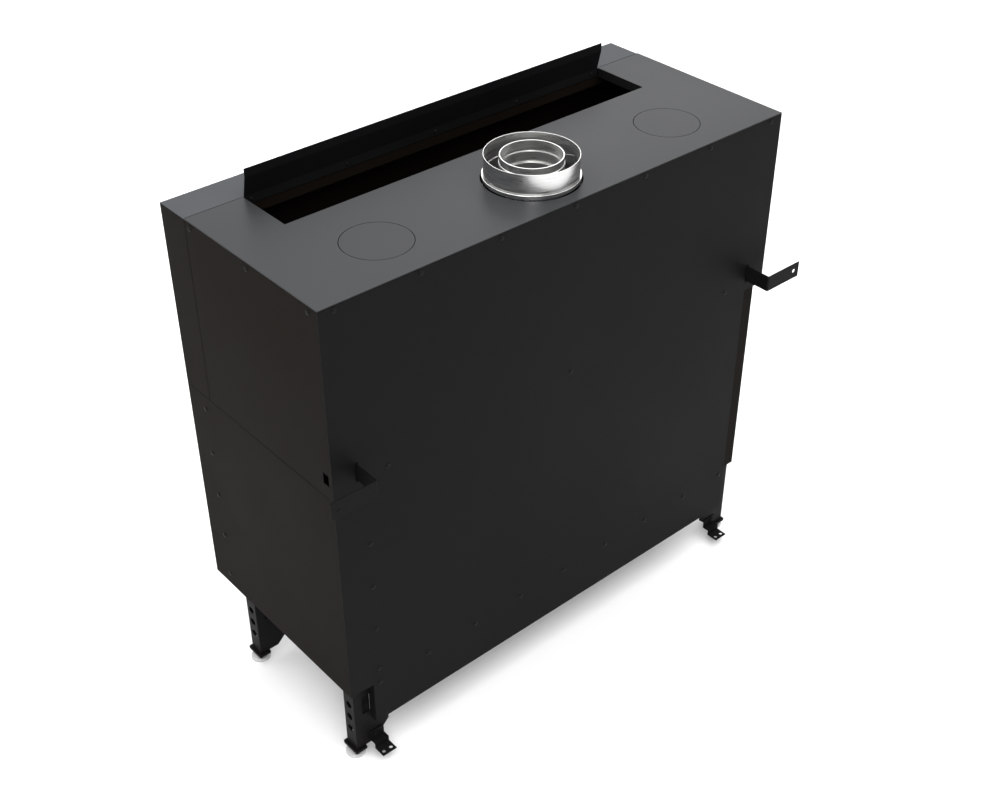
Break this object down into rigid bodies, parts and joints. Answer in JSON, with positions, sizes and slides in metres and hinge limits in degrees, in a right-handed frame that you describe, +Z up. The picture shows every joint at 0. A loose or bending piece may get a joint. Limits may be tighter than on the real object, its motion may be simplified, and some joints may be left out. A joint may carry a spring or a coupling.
{
  "type": "gas fireplace",
  "caption": "Tall built-in gas fireplace casing with a balanced flue spigot, slotted top, adjustable legs and wall brackets, seen from behind",
  "frame": {"origin": "centre of the footprint on the floor, under the middle of the whole object", "axes": "+X to the closed side panel, +Y to the back with the wall brackets, +Z up along the flue"},
  "size_m": [1.38, 0.617, 1.3005],
  "materials": {
    "casing_black": "fine black powder coat",
    "top_grey": "satin dark grey coat",
    "upstand_black": "satin black coat",
    "leg_steel": "dark coated steel",
    "galvanised": "galvanised sheet",
    "flue_steel": "bright stainless steel",
    "zinc": "bright zinc plate",
    "firebox_black": "heat-proof matt black",
    "ceramic_glass": "clear ceramic glass",
    "rope_grey": "woven glass-fibre rope",
    "log_ceramic": "painted ceramic fibre",
    "ember_ceramic": "crushed ceramic chips",
    "brass": "plain brass",
    "valve_aluminium": "die-cast aluminium",
    "plastic_black": "matt black plastic"
  },
  "bodies": {
    "casing": {"air_box": "galvanised", "back_panel": "casing_black", "bracket_guides": "casing_black", "burner": "flue_steel", "burner_tray": "firebox_black", "ember_bed": "ember_ceramic", "fire_logs": "log_ceramic", "firebox": "firebox_black", "firebox_stands": "galvanised", "flap_lugs": "firebox_black", "floor_tray": "galvanised", "flue_baffle": "firebox_black", "flue_restrictor": "flue_steel", "flue_spacers": "flue_steel", "flue_tube": "flue_steel", "front_hood": "casing_black", "front_plate": "casing_black", "gas_cock": "brass", "gas_pipes": "brass", "gas_valve": "valve_aluminium", "glass_hinge_lugs": "firebox_black", "inner_spigot": "flue_steel", "knock_out_discs": "top_grey", "leg_clamp_bolts": "zinc", "leg_rails": "galvanised", "liner_back": "firebox_black", "liner_sides": "firebox_black", "lower_side_right": "casing_black", "outer_spigot": "flue_steel", "pilot_burner": "flue_steel", "receiver_box": "plastic_black", "service_side_left": "casing_black", "slot_upstand": "upstand_black", "spigot_collar": "flue_steel", "top_plate": "top_grey", "upper_side_left": "casing_black", "upper_side_right": "casing_black", "valve_bracket": "galvanised", "warm_air_guide": "galvanised"},
    "leg_rear_right_body": {"leg_rear_right": "leg_steel", "anchor_bolt_right": "leg_steel"},
    "foot_rear_right_body": {"level_foot_rear_right": "zinc"},
    "leg_rear_left_body": {"leg_rear_left": "leg_steel", "anchor_bolt_left": "leg_steel"},
    "foot_rear_left_body": {"level_foot_rear_left": "zinc"},
    "leg_front_right_body": {"leg_front_right": "leg_steel"},
    "foot_front_right_body": {"level_foot_front_right": "zinc"},
    "leg_front_left_body": {"leg_front_left": "leg_steel"},
    "foot_front_left_body": {"level_foot_front_left": "zinc"},
    "bracket_right_body": {"wall_bracket_right": "leg_steel"},
    "anchor_right_body": {"floor_anchor_right": "leg_steel"},
    "flap_right_body": {"relief_flap_right": "firebox_black"},
    "bracket_left_body": {"wall_bracket_left": "leg_steel"},
    "anchor_left_body": {"floor_anchor_left": "leg_steel"},
    "flap_left_body": {"relief_flap_left": "firebox_black"},
    "glass_body": {"glass_frame": "firebox_black", "glass_pane": "ceramic_glass", "glass_rope": "rope_grey"},
    "knob_body": {"valve_knob": "plastic_black"},
    "cock_lever_body": {"cock_lever": "plastic_black"}
  },
  "joints": [
    {"name": "leg_rear_right_slide", "type": "slide", "parent": "casing", "child": "leg_rear_right_body", "axis": [0, 0, 1], "range_m": [-0.06, 0.04]},
    {"name": "foot_rear_right_screw", "type": "slide", "parent": "leg_rear_right_body", "child": "foot_rear_right_body", "axis": [0, 0, 1], "range_m": [-0.02, 0.009]},
    {"name": "leg_rear_left_slide", "type": "slide", "parent": "casing", "child": "leg_rear_left_body", "axis": [0, 0, 1], "range_m": [-0.06, 0.04]},
    {"name": "foot_rear_left_screw", "type": "slide", "parent": "leg_rear_left_body", "child": "foot_rear_left_body", "axis": [0, 0, 1], "range_m": [-0.02, 0.009]},
    {"name": "leg_front_right_slide", "type": "slide", "parent": "casing", "child": "leg_front_right_body", "axis": [0, 0, 1], "range_m": [-0.06, 0.04]},
    {"name": "foot_front_right_screw", "type": "slide", "parent": "leg_front_right_body", "child": "foot_front_right_body", "axis": [0, 0, 1], "range_m": [-0.02, 0.009]},
    {"name": "leg_front_left_slide", "type": "slide", "parent": "casing", "child": "leg_front_left_body", "axis": [0, 0, 1], "range_m": [-0.06, 0.04]},
    {"name": "foot_front_left_screw", "type": "slide", "parent": "leg_front_left_body", "child": "foot_front_left_body", "axis": [0, 0, 1], "range_m": [-0.02, 0.009]},
    {"name": "bracket_right_slide", "type": "slide", "parent": "casing", "child": "bracket_right_body", "axis": [0, 1, 0], "range_m": [-0.045, 0.06]},
    {"name": "anchor_right_slide", "type": "slide", "parent": "leg_rear_right_body", "child": "anchor_right_body", "axis": [0, 0, 1], "range_m": [-0.005, 0.005]},
    {"name": "flap_right_lift", "type": "hinge", "parent": "casing", "child": "flap_right_body", "pos_m": [0.33, 0.0295, 0.7423], "axis": [-1, 0, 0], "range_deg": [0, 60]},
    {"name": "bracket_left_slide", "type": "slide", "parent": "casing", "child": "bracket_left_body", "axis": [0, 1, 0], "range_m": [-0.045, 0.06]},
    {"name": "anchor_left_slide", "type": "slide", "parent": "leg_rear_left_body", "child": "anchor_left_body", "axis": [0, 0, 1], "range_m": [-0.005, 0.005]},
    {"name": "flap_left_lift", "type": "hinge", "parent": "casing", "child": "flap_left_body", "pos_m": [-0.33, 0.0295, 0.7423], "axis": [-1, 0, 0], "range_deg": [0, 60]},
    {"name": "glass_tilt", "type": "hinge", "parent": "casing", "child": "glass_body", "pos_m": [0, -0.2918, 0.2525], "axis": [1, 0, 0], "range_deg": [0, 20]},
    {"name": "knob_turn", "type": "hinge", "parent": "casing", "child": "knob_body", "pos_m": [-0.33, -0.1925, 0.189], "axis": [0, -1, 0], "range_deg": [0, 180]},
    {"name": "cock_turn", "type": "hinge", "parent": "casing", "child": "cock_lever_body", "pos_m": [-0.47, -0.1585, 0.1714], "axis": [0, 0, 1], "range_deg": [0, 90]}
  ]
}
